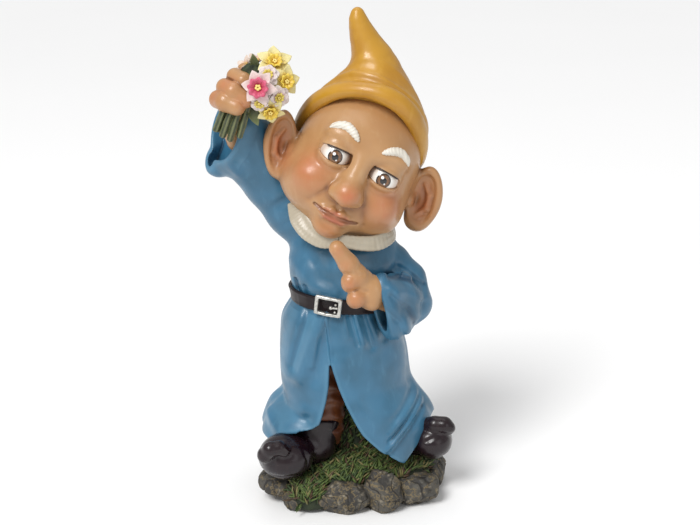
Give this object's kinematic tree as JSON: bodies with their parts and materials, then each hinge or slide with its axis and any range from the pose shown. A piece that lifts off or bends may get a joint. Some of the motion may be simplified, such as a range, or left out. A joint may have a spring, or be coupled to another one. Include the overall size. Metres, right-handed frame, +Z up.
{
  "type": "garden gnome",
  "caption": "Painted cast-resin garden gnome in a long belted robe, holding up a bouquet and pointing, on a rocky grass base.",
  "frame": {"origin": "middle of the flat underside, where the base rests", "axes": "+Z up to the tip of the hat, -Y out of the gnome's face, +X towards the gnome's left hand"},
  "size_m": [0.191, 0.1191, 0.38],
  "materials": {
    "robe_paint": "satin blue enamel over cast resin",
    "skin_paint": "satin tan skin paint with rosy blush",
    "hat_paint": "glossy orange-yellow enamel",
    "cream_paint": "satin cream paint",
    "belt_paint": "near-black satin paint with worn edges",
    "silver_paint": "antique silver metallic paint",
    "boot_paint": "glossy dark brown-purple paint",
    "trouser_paint": "satin rust-brown paint",
    "rock_paint": "grey-brown stone paint, dry-brushed tan",
    "earth_paint": "matt dark earth paint",
    "grass_paint": "matt grass green, streaked light and dark",
    "stem_paint": "dark leaf green paint, dry-brushed pale",
    "pink_petal_paint": "white petals shaded to magenta at the middle",
    "yellow_petal_paint": "white petals shaded to yellow at the middle",
    "white_petal_paint": "white petals with a trace of pink"
  },
  "bodies": {
    "root": {"belt": "belt_paint", "belt_buckle": "silver_paint", "boot_left": "boot_paint", "boot_right": "boot_paint", "bouquet_greens": "stem_paint", "buckle_prong": "silver_paint", "collar_left": "cream_paint", "collar_right": "cream_paint", "ear_left": "skin_paint", "ear_right": "skin_paint", "eyebrow_left": "cream_paint", "eyebrow_right": "cream_paint", "flower_bud_inner": "white_petal_paint", "flower_bud_outer": "white_petal_paint", "flower_pink": "pink_petal_paint", "flower_white_low": "white_petal_paint", "flower_white_side": "white_petal_paint", "flower_white_top": "white_petal_paint", "flower_yellow_low": "yellow_petal_paint", "flower_yellow_side": "yellow_petal_paint", "flower_yellow_top": "yellow_petal_paint", "grass_hummock": "grass_paint", "grass_turf": "grass_paint", "ground_base": "earth_paint", "hand_left": "skin_paint", "hand_right": "skin_paint", "hat_brim": "hat_paint", "hat_crown": "hat_paint", "head": "skin_paint", "leaf_low": "stem_paint", "leaf_top": "stem_paint", "leg_left": "trouser_paint", "leg_right": "trouser_paint", "robe_skirt": "robe_paint", "robe_torso": "robe_paint", "rock_back": "rock_paint", "rock_back_left": "rock_paint", "rock_back_right": "rock_paint", "rock_front_left": "rock_paint", "rock_front_middle": "rock_paint", "rock_front_right": "rock_paint", "rock_left": "rock_paint", "rock_near_left": "rock_paint", "rock_right": "rock_paint", "sleeve_left": "robe_paint", "sleeve_right": "robe_paint", "stem_1": "stem_paint", "stem_2": "stem_paint", "stem_3": "stem_paint", "stem_4": "stem_paint", "stem_5": "stem_paint", "stem_6": "stem_paint"}
  },
  "joints": []
}
